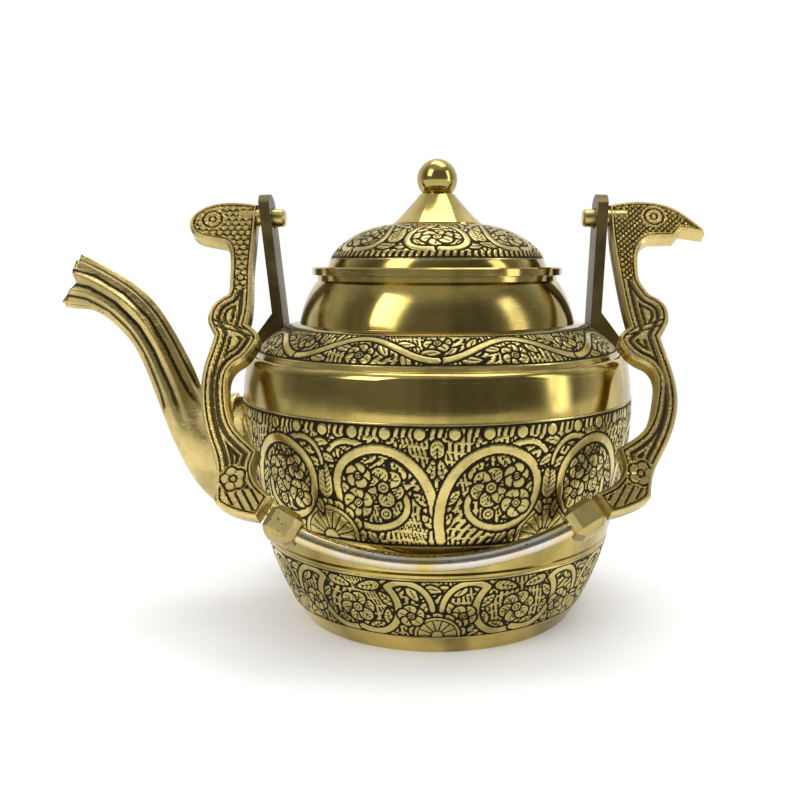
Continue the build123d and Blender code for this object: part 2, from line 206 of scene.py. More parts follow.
def spread(tree, value, low, high, to_low=0.0, to_high=1.0):
    """A value mapped smoothly from low..high to to_low..to_high."""
    made = tree.nodes.new("ShaderNodeMapRange")
    made.interpolation_type = "SMOOTHSTEP"
    for index, number in enumerate((value, low, high, to_low, to_high)):
        feed(tree, made.inputs[index], number)
    return made.outputs[0]


def blend_colour(tree, factor, first, second):
    made = tree.nodes.new("ShaderNodeMix")
    made.data_type = "RGBA"
    feed(tree, made.inputs[0], factor)
    feed(tree, made.inputs[6], first)
    feed(tree, made.inputs[7], second)
    return made.outputs[2]


def shade(colour, factor=1.0):
    return (colour[0] * factor, colour[1] * factor, colour[2] * factor, 1.0)


def new_group(name, inputs, outputs):
    """An empty shader group with its sockets, and its input and output nodes."""
    tree = bpy.data.node_groups.new(name, "ShaderNodeTree")
    for label, value in inputs:
        socket = tree.interface.new_socket(label, in_out="INPUT", socket_type="NodeSocketFloat")
        socket.default_value = value
    for label in outputs:
        tree.interface.new_socket(label, in_out="OUTPUT", socket_type="NodeSocketFloat")
    return tree, tree.nodes.new("NodeGroupInput"), tree.nodes.new("NodeGroupOutput")


def build_wear_and_reflection_group():
    """Smudges, fine scratches, upright dark streaks of painted reflection and a height."""
    outputs = ["Smudge", "Scratch", "Painted reflection", "Height"]
    tree, inside, out = new_group("Worn metal and painted reflection", [("Scale", 1.0)], outputs)
    place = add(tree, "ShaderNodeTexCoord").outputs["Object"]
    broad_scale = maths(tree, "MULTIPLY", inside.outputs["Scale"], 28.0)
    broad = add(tree, "ShaderNodeTexNoise", Vector=place, Scale=broad_scale, Detail=4.0, Roughness=0.6)
    smudge = spread(tree, broad.outputs["Fac"], 0.36, 0.68)
    tilt = (0.12, 0.05, 0.0)
    stretch = add(tree, "ShaderNodeMapping", Vector=place, Scale=(1.0, 1.0, 14.0), Rotation=tilt)
    fine_scale = maths(tree, "MULTIPLY", inside.outputs["Scale"], 160.0)
    fine = add(tree, "ShaderNodeTexNoise", Vector=stretch.outputs[0], Scale=fine_scale, Detail=3.0)
    fine.inputs["Roughness"].default_value = 0.7
    scratch = spread(tree, fine.outputs["Fac"], 0.54, 0.66)
    height = maths(tree, "MULTIPLY_ADD", scratch, -0.6, fine.outputs["Fac"])
    # Upright dark streaks that paint reflections onto the polished metal.
    upright = add(tree, "ShaderNodeMapping", Vector=place, Scale=(1.0, 1.0, 0.15))
    reflection_noise = add(tree, "ShaderNodeTexNoise", Vector=upright.outputs[0], Scale=34.0, Detail=3.0)
    reflection_noise.inputs["Roughness"].default_value = 0.55
    painted_reflection = spread(tree, reflection_noise.outputs["Fac"], 0.46, 0.62)
    for label, value in (("Smudge", smudge), ("Scratch", scratch), ("Painted reflection", painted_reflection), ("Height", height)):
        tree.links.new(value, out.inputs[label])
    return tree


def build_pit_group():
    """Casting pits and grains: a mask for the pits and a height."""
    tree, inside, out = new_group("Cast grain", [("Scale", 1.0)], ["Pits", "Grain", "Height"])
    place = add(tree, "ShaderNodeTexCoord").outputs["Object"]
    cell_scale = maths(tree, "MULTIPLY", inside.outputs["Scale"], 620.0)
    cells = add(tree, "ShaderNodeTexVoronoi", Vector=place, Scale=cell_scale, Randomness=1.0)
    pits = spread(tree, cells.outputs["Distance"], 0.12, 0.30, 1.0, 0.0)
    patch_scale = maths(tree, "MULTIPLY", inside.outputs["Scale"], 90.0)
    patch = add(tree, "ShaderNodeTexNoise", Vector=place, Scale=patch_scale, Detail=5.0, Roughness=0.65)
    where = spread(tree, patch.outputs["Fac"], 0.52, 0.66)
    some = maths(tree, "MULTIPLY", pits, where)
    height = maths(tree, "MULTIPLY_ADD", some, -1.0, patch.outputs["Fac"])
    for label, value in (("Pits", some), ("Grain", patch.outputs["Fac"]), ("Height", height)):
        tree.links.new(value, out.inputs[label])
    return tree


def group_node(tree, group, scale):
    made = tree.nodes.new("ShaderNodeGroup")
    made.node_tree = group
    made.inputs["Scale"].default_value = scale
    return made


def metal(name, bump_strength):
    """A new material: its tree, its metallic shader and the bump that feeds the shader's normal."""
    material = bpy.data.materials.new("teapot_" + name)
    material.use_nodes = True
    tree = material.node_tree
    shader = tree.nodes["Principled BSDF"]
    shader.inputs["Metallic"].default_value = 1.0
    bump = add(tree, "ShaderNodeBump", Strength=bump_strength, Distance=0.05 * mm)
    tree.links.new(bump.outputs["Normal"], shader.inputs["Normal"])
    return tree, shader, bump


def smooth_roughness(tree, wear_and_reflection):
    return spread(tree, wear_and_reflection.outputs["Smudge"], 0.0, 1.0, 0.09, 0.2)


def worn(tree, colour, light, dark, smudge):
    """A colour that runs from its light to its dark shade with the smudges."""
    return blend_colour(tree, smudge, shade(colour, light), shade(colour, dark))


def smudged_with_painted_reflection(tree, colour, wear_and_reflection):
    """The colour of polished brass with smudges and upright dark streaks of painted reflection."""
    base = worn(tree, colour, 1.2, 0.66, wear_and_reflection.outputs["Smudge"])
    # Painted reflection: darkens the colour along the upright streaks.
    return blend_colour(tree, maths(tree, "MULTIPLY", wear_and_reflection.outputs["Painted reflection"], 0.6), base, shade(colour, 0.3))


def polished_brass(name, colour, groups):
    """Polished metal with smudges, upright streaks of painted reflection and fine scratches."""
    tree, shader, bump = metal(name, 0.07)
    wear_and_reflection = group_node(tree, groups["wear_and_reflection"], 1.0)
    base = smudged_with_painted_reflection(tree, colour, wear_and_reflection)
    scratch = maths(tree, "MULTIPLY", wear_and_reflection.outputs["Scratch"], 0.2)
    tree.links.new(blend_colour(tree, scratch, base, shade(colour, 1.25)), shader.inputs["Base Color"])
    tree.links.new(smooth_roughness(tree, wear_and_reflection), shader.inputs["Roughness"])
    tree.links.new(wear_and_reflection.outputs["Height"], bump.inputs["Height"])


def banded_brass(name, colour, recess, groups, low, high, by_radius):
    """Polished metal that is blackened under the engraving, between two levels or radii."""
    tree, shader, bump = metal(name, 0.07)
    wear_and_reflection = group_node(tree, groups["wear_and_reflection"], 1.0)
    place = add(tree, "ShaderNodeTexCoord").outputs["Object"]
    axes = add(tree, "ShaderNodeSeparateXYZ", Vector=place)
    square_x = maths(tree, "MULTIPLY", axes.outputs["X"], axes.outputs["X"])
    reach = maths(tree, "SQRT", maths(tree, "MULTIPLY_ADD", axes.outputs["Y"], axes.outputs["Y"], square_x))
    level = reach if by_radius else axes.outputs["Z"]
    edge = 0.15 * mm
    over = spread(tree, level, low - edge, low + edge)
    under = spread(tree, level, high - edge, high + edge, 1.0, 0.0)
    ground = maths(tree, "MULTIPLY", over, under)
    grains = add(tree, "ShaderNodeTexNoise", Vector=place, Scale=1900.0, Detail=2.0)
    grain = spread(tree, grains.outputs["Fac"], 0.45, 0.7)
    # The bright polished part carries the painted reflection streaks.
    bright = smudged_with_painted_reflection(tree, colour, wear_and_reflection)
    dark = blend_colour(tree, grain, shade(recess), shade(colour, 0.42))
    tree.links.new(blend_colour(tree, ground, bright, dark), shader.inputs["Base Color"])
    rough = maths(tree, "MULTIPLY_ADD", ground, 0.4, smooth_roughness(tree, wear_and_reflection))
    tree.links.new(rough, shader.inputs["Roughness"])
    grained = maths(tree, "MULTIPLY", ground, grain)
    height = maths(tree, "MULTIPLY_ADD", grained, 2.0, wear_and_reflection.outputs["Height"])
    tree.links.new(height, bump.inputs["Height"])


def engraved_brass(name, colour, recess, groups):
    """Satin metal with fine tool marks, blackened in its cut lines."""
    tree, shader, bump = metal(name, 0.5)
    wear_and_reflection = group_node(tree, groups["wear_and_reflection"], 2.2)
    pits = group_node(tree, groups["pits"], 1.4)
    base = worn(tree, colour, 1.15, 0.62, wear_and_reflection.outputs["Smudge"])
    base = blend_colour(tree, maths(tree, "MULTIPLY", pits.outputs["Pits"], 0.8), base, shade(colour, 0.2))
    mark = add(tree, "ShaderNodeAttribute", {"attribute_name": "groove"}).outputs["Fac"]
    dark = spread(tree, mark, 0.25, 0.7)
    base = blend_colour(tree, dark, base, shade(recess))
    tree.links.new(base, shader.inputs["Base Color"])
    rough = spread(tree, wear_and_reflection.outputs["Smudge"], 0.0, 1.0, 0.2, 0.34)
    tree.links.new(maths(tree, "MULTIPLY_ADD", dark, 0.35, rough), shader.inputs["Roughness"])
    height = maths(tree, "ADD", wear_and_reflection.outputs["Height"], pits.outputs["Height"])
    tree.links.new(height, bump.inputs["Height"])


def cast_brass(name, colour, recess, groups, grooved):
    """Filed cast metal, darkened in its pits and, where it is grooved, in its grooves."""
    tree, shader, bump = metal(name, 0.7)
    wear_and_reflection = group_node(tree, groups["wear_and_reflection"], 1.6)
    pits = group_node(tree, groups["pits"], 1.0)
    base = worn(tree, colour, 1.12, 0.72, wear_and_reflection.outputs["Smudge"])
    base = blend_colour(tree, pits.outputs["Pits"], base, shade(recess, 2.0))
    if grooved:
        mark = add(tree, "ShaderNodeAttribute", {"attribute_name": "groove"}).outputs["Fac"]
        base = blend_colour(tree, spread(tree, mark, 0.3, 1.0), base, shade(recess, 1.8))
    tree.links.new(base, shader.inputs["Base Color"])
    rough = spread(tree, wear_and_reflection.outputs["Smudge"], 0.0, 1.0, 0.2, 0.4)
    tree.links.new(rough, shader.inputs["Roughness"])
    height = maths(tree, "ADD", wear_and_reflection.outputs["Height"], pits.outputs["Height"])
    tree.links.new(height, bump.inputs["Height"])


def aged_brass(name, colour, groups):
    """Dull straps with file marks across them."""
    tree, shader, bump = metal(name, 0.9)
    shader.inputs["Roughness"].default_value = 0.42
    place = add(tree, "ShaderNodeTexCoord").outputs["Object"]
    across = add(tree, "ShaderNodeMapping", Vector=place, Scale=(1.0, 0.12, 1.0), Rotation=(0.5, 0.0, 0.0))
    marks = add(tree, "ShaderNodeTexNoise", Vector=across.outputs[0], Scale=900.0, Detail=4.0)
    marks.inputs["Roughness"].default_value = 0.7
    wear_and_reflection = group_node(tree, groups["wear_and_reflection"], 1.8)
    base = worn(tree, colour, 1.3, 0.6, wear_and_reflection.outputs["Smudge"])
    base = blend_colour(tree, spread(tree, marks.outputs["Fac"], 0.58, 0.72), base, shade(colour, 1.8))
    tree.links.new(base, shader.inputs["Base Color"])
    tree.links.new(marks.outputs["Fac"], bump.inputs["Height"])


def worn_bar(name, colour, brass, groups):
    """Bright grip metal with dark pits, streaks of roughness and traces of brass."""
    tree, shader, bump = metal(name, 0.5)
    wear_and_reflection = group_node(tree, groups["wear_and_reflection"], 2.0)
    pits = group_node(tree, groups["pits"], 0.8)
    base = blend_colour(tree, wear_and_reflection.outputs["Smudge"], shade(colour), shade(brass, 1.2))
    base = blend_colour(tree, pits.outputs["Pits"], base, (0.06, 0.06, 0.07, 1.0))
    tree.links.new(base, shader.inputs["Base Color"])
    rough = spread(tree, wear_and_reflection.outputs["Scratch"], 0.0, 1.0, 0.14, 0.34)
    tree.links.new(rough, shader.inputs["Roughness"])
    tree.links.new(pits.outputs["Height"], bump.inputs["Height"])


def build_finishes():
    """All materials of the object."""
    tones = colours()
    brass = tones.polished
    recess = tones.recess
    groups = {"wear_and_reflection": build_wear_and_reflection_group(), "pits": build_pit_group()}
    shoulder_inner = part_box("neck_ledge")[1].x + shoulder_margin
    shoulder_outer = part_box("shoulder_plate")[1].x - shoulder_margin
    dome_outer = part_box("lid_dome")[1].x - dome_ground_margin
    polished_brass("polished_brass", brass, groups)
    banded_brass("belly_brass", brass, recess, groups, belly_band_low, belly_band_top, False)
    banded_brass("bowl_brass", brass, recess, groups, foot_band, bowl_band_top, False)
    banded_brass("shoulder_brass", brass, recess, groups, shoulder_inner, shoulder_outer, True)
    banded_brass("dome_brass", brass, recess, groups, dome_band_inner, dome_outer, True)
    engraved_brass("engraved_brass", tones.engraved, recess, groups)
    cast_brass("cast_brass", tones.cast, recess, groups, False)
    cast_brass("spout_brass", tones.cast, recess, groups, True)
    cast_brass("arm_brass", tones.cast, recess, groups, True)
    aged_brass("aged_brass", tones.aged, groups)
    worn_bar("grip_metal", tones.grip, brass, groups)


def finish(name):
    """The teapot's own material, as the frame has materials with the same plain names."""
    return bpy.data.materials["teapot_" + name]


node_finishes = {
    "base_disc": "polished_brass", "foot_ring": "polished_brass", "lower_bowl": "bowl_brass",
    "belly_shell": "belly_brass", "rim_bead": "polished_brass", "shoulder_plate": "shoulder_brass",
    "neck_dome": "polished_brass", "neck_ledge": "polished_brass", "mouth_lip": "polished_brass",
    "spout": "spout_brass", "left_ear": "aged_brass", "right_ear": "aged_brass", "ear_rivets": "aged_brass",
    "lid_flange": "polished_brass", "lid_dome": "dome_brass", "lid_collar": "polished_brass",
    "knob_cone": "polished_brass", "knob_ball": "polished_brass", "knob_nut": "aged_brass",
    "left_arm": "cast_brass", "right_arm": "cast_brass", "left_pivot_pin": "cast_brass",
    "right_pivot_pin": "cast_brass", "left_end_block": "cast_brass", "right_end_block": "cast_brass",
    "grip_bar": "grip_metal",
}


# Mesh helpers

def piece_from(bm, name, body, materials, smooth=True):
    """A finished piece from a bmesh, riding on its body."""
    mesh = bpy.data.meshes.new(name)
    bm.to_mesh(mesh)
    bm.free()
    for polygon in mesh.polygons:
        polygon.use_smooth = smooth
    piece = bpy.data.objects.new(name, mesh)
    bpy.context.scene.collection.objects.link(piece)
    for material in materials:
        mesh.materials.append(finish(material))
    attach(piece, body)
    return piece


def copy_of(node):
    """A merged copy of a CAD node's triangles."""
    bm = bmesh.new()
    bm.from_mesh(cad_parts[node].data)
    bmesh.ops.remove_doubles(bm, verts=bm.verts, dist=0.002 * mm)
    return bm


class Band:
    """The outside of a turned node between two levels, unrolled: length along it and round it."""

    def __init__(self, node, low, high, upright, steps=48):
        tree = BVHTree.FromObject(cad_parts[node], bpy.context.evaluated_depsgraph_get())
        self.points = []
        far = 0.4
        for step in range(steps + 1):
            level = low + (high - low) * step / steps
            start = Vector((0, far, level)) if upright else Vector((0, level, far))
            ray = Vector((0, -1, 0)) if upright else Vector((0, 0, -1))
            hit = tree.ray_cast(start, ray)[0]
            if hit is None:
                raise RuntimeError("no outside found on " + node)
            self.points.append((hit.y, hit.z))
        self.lengths = [0.0]
        for first, second in zip(self.points, self.points[1:]):
            self.lengths.append(self.lengths[-1] + hypot(second[0] - first[0], second[1] - first[1]))
        self.length = self.lengths[-1]
        self.radius = sum(radius for radius, _ in self.points) / len(self.points)
        self.round = 2 * pi * self.radius

    def at(self, along):
        """Radius, height and outward normal at a length along the band."""
        index = 0
        last = len(self.points) - 2
        while index < last and self.lengths[index + 1] < along:
            index += 1
        first = self.points[index]
        second = self.points[index + 1]
        run = self.lengths[index + 1] - self.lengths[index]
        share = (along - self.lengths[index]) / run
        radius = first[0] + (second[0] - first[0]) * share
        height = first[1] + (second[1] - first[1]) * share
        return radius, height, Vector((second[1] - first[1], first[0] - second[0])) / run


def groove(distance, centre, width):
    """1 at the bottom of a round groove, 0 beside it."""
    return np.sqrt(np.clip(1 - (np.abs(distance - centre) / (width / 2)) ** 2, 0, 1))


def off_whole(value):
    """How far a value is from the nearest whole number."""
    return np.abs(value - np.round(value))


def distance_to_line(x, y, points):
    """Distance in the flat to a line through points, and the share of the line where it is nearest."""
    nearest = np.full(np.broadcast(x, y).shape, 1e9)
    where = np.zeros(nearest.shape)
    count = len(points) - 1
    for number, (start, end) in enumerate(zip(points, points[1:])):
        run_x, run_y = end[0] - start[0], end[1] - start[1]
        square = max(run_x * run_x + run_y * run_y, 1e-12)
        share = np.clip(((x - start[0]) * run_x + (y - start[1]) * run_y) / square, 0, 1)
        gap = np.hypot(x - start[0] - share * run_x, y - start[1] - share * run_y)
        closer = gap < nearest
        nearest = np.where(closer, gap, nearest)
        where = np.where(closer, (number + share) / count, where)
    return nearest, where


class Engraving:
    """Cut lines on an unrolled band, in millimetres: 0 is the bright top, 1 the bottom of a line."""

    def __init__(self, band, seed):
        self.band = band
        self.round = band.round / mm
        self.length = band.length / mm
        pitch = max(finest_pitch, (self.round * self.length / most_faces) ** 0.5)
        self.columns = int(self.round / pitch)
        self.rows = int(self.length / pitch)
        self.wide = self.round / self.columns
        self.tall = self.length / self.rows
        self.along = (np.arange(self.columns) * self.wide)[None, :]
        self.up = (np.arange(self.rows + 1) * self.tall)[:, None]
        self.rng = Random(seed)
        self.depth = self.ground(seed)

    def ground(self, seed):
        """Ladder strokes in broken rows, with punched dots between them."""
        turn = 2 * pi * self.along / self.round
        phase = int(self.round / ladder_pitch) * self.along / self.round
        phase = phase + 1.1 * np.sin(9 * turn + self.up / 6) + 0.8 * np.sin(self.up / 4.3 + 14 * turn)
        stroke = groove(off_whole(phase) * ladder_pitch, 0, 1.05)
        stroke = stroke * (off_whole(self.up / ladder_row + 0.4 * np.sin(11 * turn)) < 0.40)
        dots = np.random.default_rng(seed).random(stroke.shape) > 0.93
        return np.maximum(stroke, dots * 0.8)

    def stamp(self, centre, reach, shape):
        """Clears a shape, which gives a distance and marks, and cuts its marks and a line round it."""
        first = int(round((centre[0] - reach) / self.wide))
        last = int(round((centre[0] + reach) / self.wide))
        low = max(0, int((centre[1] - reach) / self.tall))
        high = min(self.rows, int((centre[1] + reach) / self.tall) + 1)
        if high < low:
            return
        columns = np.arange(first, last + 1)
        rows = np.arange(low, high + 1)
        x = (columns * self.wide - centre[0])[None, :]
        y = (rows * self.tall - centre[1])[:, None]
        distance, marks = shape(x, y)
        place = np.ix_(rows, columns % self.columns)
        inner = np.where(distance < 0, marks, self.depth[place])
        self.depth[place] = np.maximum(inner, groove(distance, 0.35, 1.0))

    def leaf(self, centre, length, width, turn, taper=0.6, bow=0.0, rib=True):
        """A leaf or petal, drawn in at its far end by taper and bent by bow."""
        half = length / 2

        def shape(x, y):
            along = x * cos(turn) + y * sin(turn)
            share = np.clip(along / half, -1.3, 1.3)
            across = y * cos(turn) - x * sin(turn) - bow * width * (1 - share * share)
            side = np.maximum(width / 2 * (1 - taper * (share + 1) / 2), width * 0.1)
            out = np.hypot(along / half, across / side) + 1e-6
            distance = out * (out - 1) / (np.hypot(along / half ** 2, across / side ** 2) + 1e-6)
            marks = groove(across, 0, 0.5) * (np.abs(share - 0.1) < 0.55) if rib else np.zeros(out.shape)
            if rib and width > 4.2:
                veins = off_whole((along - np.abs(across) * 0.9) / 1.7) * 1.7
                marks = np.maximum(marks, groove(veins, 0, 0.55) * (out < 0.8))
            return distance, marks
        self.stamp(centre, half + width / 2 + 1.2, shape)

    def disc(self, centre, radius, ring=0.0):
        """A round boss, with a ring cut into it."""
        def shape(x, y):
            reach = np.hypot(x, y)
            return reach - radius, groove(reach, ring, 0.6) if ring else np.zeros(reach.shape)
        self.stamp(centre, radius + 1.2, shape)

    def flower(self, centre, petals, radius, turn=0.0):
        """A rosette of petals round a boss."""
        for number in range(petals):
            angle = turn + 2 * pi * number / petals
            spot = (centre[0] + cos(angle) * radius * 0.6, centre[1] + sin(angle) * radius * 0.6)
            self.leaf(spot, radius * 0.88, radius * 4.1 / petals, angle, taper=-0.35, rib=radius > 4.4)
        self.disc(centre, radius * 0.27, ring=radius * 0.13)

    def stem(self, path, width, taper=0.0, steps=22):
        """A plain scroll along a path, narrower at its end by taper."""
        points = [path(step / steps) for step in range(steps + 1)]
        low = [min(point[axis] for point in points) for axis in (0, 1)]
        high = [max(point[axis] for point in points) for axis in (0, 1)]
        centre = ((low[0] + high[0]) / 2, (low[1] + high[1]) / 2)
        local = [(point[0] - centre[0], point[1] - centre[1]) for point in points]

        def shape(x, y):
            nearest, share = distance_to_line(x, y, local)
            return nearest - width / 2 * (1 - taper * share), np.zeros(nearest.shape)
        self.stamp(centre, max(high[0] - low[0], high[1] - low[1]) / 2 + width, shape)

    def leaves(self, path, count, length, width, sides=(1, -1), spread_out=0.8):
        """Leaves that leave a scroll to its sides in turn."""
        for number in range(count):
            share = (number + 0.5) / count
            spot = path(share)
            ahead = path(min(1, share + 0.02))
            along = atan2(ahead[1] - spot[1], ahead[0] - spot[0])
            side = sides[number % len(sides)]
            turn = along + side * (spread_out + self.rng.uniform(-0.12, 0.12))
            long = length * self.rng.uniform(0.85, 1.15)
            centre = (spot[0] + cos(turn) * long * 0.6, spot[1] + sin(turn) * long * 0.6)
            self.leaf(centre, long, width, turn, taper=0.55, bow=0.14 * side)

    def fan(self, centre, radius, petals):
        """A scalloped shell that opens upwards, with strokes in each of its petals."""
        for number in range(petals):
            angle = pi * (number + 0.5) / petals
            spot = (centre[0] + cos(angle) * radius, centre[1] + sin(angle) * radius)
            self.leaf(spot, radius * 0.5, radius * 3.1 / petals, angle, taper=-0.3)

        def shape(x, y):
            reach = np.hypot(x, y)
            angle = np.arctan2(y, x)
            spokes = groove(np.abs(np.sin(petals * angle)) * reach / petals, 0, 0.62)
            spokes = spokes * (reach > radius * 0.3) * (reach < radius * 0.82)
            rings = np.maximum(groove(reach, radius * 0.86, 0.6), groove(reach, radius * 0.27, 0.7))
            return np.maximum(reach - radius, -y - 0.8), np.maximum(spokes, rings)
        self.stamp(centre, radius + 1.2, shape)

    def fringe(self, low, high, pitch):
        """A row of upright cuts right round the band."""
        phase = self.along * int(self.round / pitch) / self.round + 0.15 * np.sin(self.up)
        cuts = groove(off_whole(phase) * pitch, 0, pitch * 0.62)
        self.depth = np.where((self.up > low) & (self.up < high), cuts, self.depth)

    def borders(self, width):
        """Plain rims at both edges, each with a line beside it."""
        inwards = np.minimum(self.up, self.length - self.up)
        lined = np.maximum(self.depth, groove(inwards, width + 0.3, 0.9))
        self.depth = np.where(inwards < width, 0, lined)

    def build(self):
        """The band as a fine net laid on the turned surface, its lines pressed in."""
        bm = bmesh.new()
        bmesh.ops.create_grid(bm, x_segments=self.columns, y_segments=self.rows, size=1.0)
        mark = bm.verts.layers.float.new("groove")
        levels = [self.band.at(row * self.tall * mm) for row in range(self.rows + 1)]
        relief = sizes().relief
        for vert in bm.verts:
            column = round((vert.co.x + 1) / 2 * self.columns)
            row = round((vert.co.y + 1) / 2 * self.rows)
            share = float(self.depth[row, column % self.columns])
            radius, height, out = levels[row]
            lift = net_edge if row in (0, self.rows) else net_gap + relief * (1 - share)
            angle = 2 * pi * column / self.columns
            reach = radius + out.x * lift
            vert.co = (reach * sin(angle), -reach * cos(angle), height + out.y * lift)
            vert[mark] = share
        bmesh.ops.remove_doubles(bm, verts=bm.verts, dist=0.001 * mm)
        return bm


def bezier(p0, p1, p2, p3):
    """A cubic curve as a function of its share from 0 to 1."""
    def path(t):
        s = 1 - t
        shares = (s * s * s, 3 * s * s * t, 3 * s * t * t, t * t * t)
        return tuple(sum(a * p[axis] for a, p in zip(shares, (p0, p1, p2, p3))) for axis in (0, 1))
    return path


def chain(*paths):
    """Several curves, end to end, as one."""
    def path(t):
        place = min(t, 0.999999) * len(paths)
        number = int(place)
        return paths[number](place - number)
    return path


def sided(centre, side, *points):
    """A curve drawn from the middle of a unit, to one side of it or the other."""
    return bezier(*[(centre + side * x, y) for x, y in points])


def belly_unit(work, centre, half_width):
    """A pair of great scrolls round flowers, with a shell between this unit and the next."""
    work.fan((centre + half_width, 1.6), 11.5, 9)
    work.leaf((centre + half_width, 22.5), 13.0, 7.0, pi / 2, taper=0.5)
    work.leaf((centre, 33.5), 8.5, 5.4, -pi / 2, taper=0.5)
    for side in (-1, 1):
        arch = sided(centre, side, (1.2, 3.0), (-3.0, 25.0), (14.0, 42.0), (29.0, 31.0))
        curl = sided(centre, side, (29.0, 31.0), (39.0, 24.0), (33.0, 6.0), (20.0, 7.0))
        tip = sided(centre, side, (20.0, 7.0), (11.0, 8.0), (8.0, 14.0), (10.5, 18.5))
        spray = sided(centre, side, (23.0, 34.0), (29.0, 39.0), (37.0, 36.0), (38.0, 28.0))
        work.leaves(arch, 7, 7.5, 4.4, (side, -side))
        work.leaves(curl, 5, 6.5, 4.0, (side, -side))
        work.leaves(spray, 4, 6.0, 3.6, (side,))
        work.stem(spray, 2.2, 0.4)
        work.stem(chain(arch, curl, tip), 3.4, 0.45, steps=60)
        work.leaf((centre + side * 12.5, 27.5), 7.0, 4.4, side * 0.9 + (pi if side < 0 else 0), taper=0.5)
        work.flower((centre + side * 17.5, 21.5), 6, 6.6, turn=0.3 * side)
        work.flower((centre + side * 26.5, 15.5), 5, 5.0, turn=0.8 * side)
        work.flower((centre + side * 26.0, 25.0), 5, 4.2, turn=0.1)
        work.disc((centre + side * 17.0, 12.2), 1.9, ring=0.9)


def engrave_belly():
    """Units of great scrolls under a fringe with a row of buds."""
    work = Engraving(Band("belly_shell", belly_band_low, belly_band_top, True), 7)
    units = sizes().belly_units
    width = work.round / units
    top = work.length
    for number in range(units):
        belly_unit(work, width * number, width / 2)
    work.fringe(top - 4.6, top - 1.0, 2.3)
    buds = units * 7
    for number in range(buds):
        work.disc((work.round * (number + 0.5) / buds, top - 3.4), 1.9)
    work.borders(0.8)
    return work.build()


def engrave_bowl():
    """Flowers between scrolls that grow from shells at the foot."""
    work = Engraving(Band("lower_bowl", foot_band, bowl_band_top, True), 8)
    units = sizes().bowl_units
    width = work.round / units
    top = work.length
    for number in range(units):
        centre = width * (number + 0.5)
        work.fan((centre + width / 2, 2.0), 8.5, 7)
        for side in (-1, 1):
            tip = (12.0, top - 4.0)
            scroll = sided(centre, side, (0.0, 3.5), (13.0, -2.0), (20.0, 14.0), tip)
            branch = sided(centre, side, tip, (18.0, top + 1.0), (26.0, top - 3.0), (27.0, 14.0))
            work.leaves(scroll, 6, 6.6, 4.4, (side, -side))
            work.leaves(branch, 4, 6.2, 4.2, (side, -side))
            work.stem(chain(scroll, branch), 2.8, 0.35, steps=44)
            work.flower((centre + side * 19.5, 11.0), 5, 4.6, turn=0.4 * side)
            back = pi if side > 0 else 0
            work.leaf((centre + side * 5.5, top - 4.2), 8.0, 4.6, 0.25 * side + back, taper=0.5)
        work.flower((centre, top * 0.47), 6, 6.4, turn=0.25)
    work.borders(0.7)
    return work.build()


def engrave_shoulder():
    """One wave right round the shoulder, with leaves on it and flowers in its bends."""
    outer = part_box("shoulder_plate")[1].x - shoulder_margin
    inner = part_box("neck_ledge")[1].x + shoulder_margin
    work = Engraving(Band("shoulder_plate", outer, inner, False), 9)
    units = sizes().shoulder_units
    width = work.round / units
    top = work.length
    for number in range(units):
        start = width * number

        def wave(t, start=start):
            return (start + width * t, top * (0.5 - 0.32 * cos(2 * pi * t)))
        work.leaves(wave, 12, 6.4, 4.2, (1, -1), spread_out=0.7)
        work.stem(wave, 2.3)
        work.flower((start, top * 0.70), 6, 4.6, turn=0.2)
        work.flower((start + width / 2, top * 0.30), 6, 4.6, turn=0.5)
    work.borders(0.6)
    return work.build()


def engrave_lid():
    """Flowers between pairs of scrolls, with a fringe at the lid's edge."""
    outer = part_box("lid_dome")[1].x - dome_margin
    work = Engraving(Band("lid_dome", outer, dome_band_inner + dome_margin, False, steps=80), 10)
    units = sizes().lid_units
    width = work.round / units
    top = work.length
    for number in range(units):
        centre = width * number
        work.leaf((centre + width / 2, top * 0.5), 12.0, 6.6, pi / 2, taper=0.5)
        for side in (-1, 1):
            scroll = sided(centre, side, (1.0, 4.6), (12.0, 3.0), (11.0, 15.0), (4.5, top - 5.0))
            work.leaves(scroll, 5, 5.6, 3.8, (side, -side))
            work.stem(scroll, 2.2, 0.3)
        work.flower((centre, top * 0.42), 6, 5.2, turn=0.4)
        work.flower((centre + width / 2, top * 0.82), 5, 3.8)
    work.fringe(0.9, 3.6, 1.9)
    work.borders(0.6)
    return work.build()


# The carved bail arms

def arm_frame(side, line):
    """Turns a place at rest into the arm's own drawing: X out from its line, Y down the arm."""
    def drawing(place):
        offset = place - pivot
        return Vector((side * offset.x - line, offset.dot(bail_down)))
    return drawing


